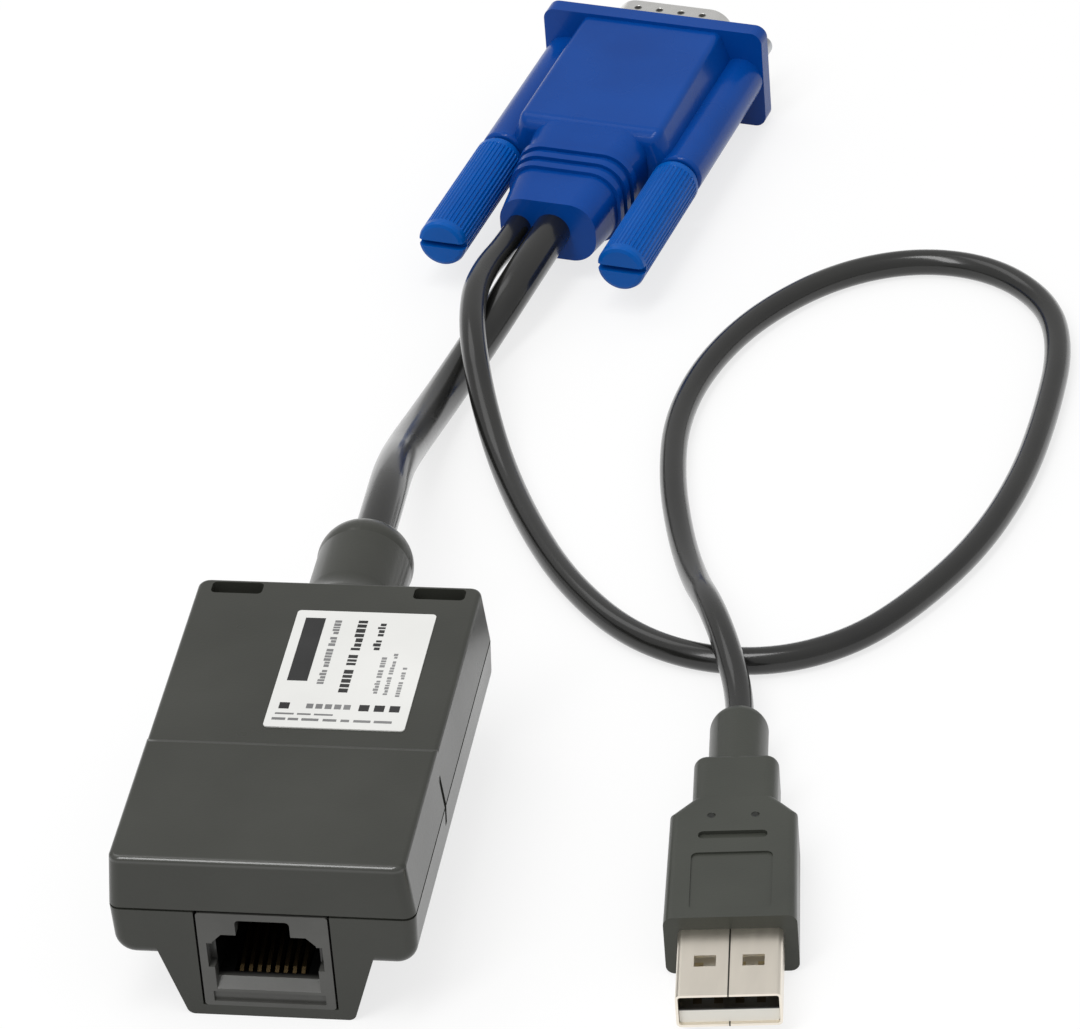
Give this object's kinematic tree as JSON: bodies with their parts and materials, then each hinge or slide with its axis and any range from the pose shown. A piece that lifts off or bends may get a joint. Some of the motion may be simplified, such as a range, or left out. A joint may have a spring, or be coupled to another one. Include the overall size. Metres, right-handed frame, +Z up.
{
  "type": "kvm dongle",
  "caption": "Small server console adapter: a housing with a network socket, and cords to a VGA plug with thumbscrews and a USB plug.",
  "frame": {"origin": "under the middle of the housing with its neck, on the surface it lies on", "axes": "+Y from the network socket to the neck, +Z up, +X across to the right as seen from the socket"},
  "size_m": [0.0966, 0.2107, 0.022],
  "materials": {
    "housing_plastic": "fine moulded texture, dark warm grey",
    "label_film": null,
    "jack_plastic": "moulded, dark grey",
    "contact_metal": "gold plated",
    "screw_steel": "zinc plated",
    "board_laminate": "solder-masked laminate",
    "chip_black": "moulded epoxy",
    "can_metal": "drawn can",
    "header_plastic": "natural nylon",
    "wire_insulation": "thin insulation",
    "vga_blue": "moulded, satin blue",
    "vga_metal": "nickel plated",
    "insulator_plastic": "moulded connector plastic",
    "inner_mould": "natural inner moulding",
    "usb_overmould": "soft moulded plastic, dark grey",
    "usb_metal": "nickel plated, warm silver",
    "usb_insulator_plastic": "moulded connector plastic, light grey",
    "cord_jacket": "flexible jacket, dark grey"
  },
  "bodies": {
    "dongle": {"housing_upper_shell": "housing_plastic", "housing_lower_shell": "housing_plastic", "case_screws": "screw_steel", "label": "label_film", "cord_anchor": "cord_jacket", "jack_body": "jack_plastic", "jack_insert": "jack_plastic", "jack_contacts": "contact_metal", "circuit_board": "board_laminate", "processor_chip": "chip_black", "video_chip": "chip_black", "memory_chip": "chip_black", "crystal_can": "can_metal", "capacitors": "can_metal", "cable_header": "header_plastic", "signal_wires": "wire_insulation", "vga_hood": "vga_blue", "vga_metal_shell": "vga_metal", "vga_insulator": "insulator_plastic", "vga_pins": "contact_metal", "vga_inner_mould": "inner_mould", "usb_plug_body": "usb_overmould", "usb_shell": "usb_metal", "usb_insulator": "usb_insulator_plastic", "usb_contacts": "contact_metal", "vga_cord": "cord_jacket", "usb_cord": "cord_jacket"},
    "thumbscrew_left": {"thumbscrew_left_shaft": "screw_steel", "thumbscrew_left_knob": "vga_blue"},
    "thumbscrew_right": {"thumbscrew_right_shaft": "screw_steel", "thumbscrew_right_knob": "vga_blue"}
  },
  "joints": [
    {"name": "thumbscrew_left_turn", "type": "hinge", "parent": "dongle", "child": "thumbscrew_left", "pos_m": [0.00494, 0.16675, 0.00725], "axis": [0.1959, 0.9806, 0], "continuous": true},
    {"name": "thumbscrew_right_turn", "type": "hinge", "parent": "dongle", "child": "thumbscrew_right", "pos_m": [0.02946, 0.16185, 0.00725], "axis": [0.1959, 0.9806, 0], "continuous": true}
  ]
}
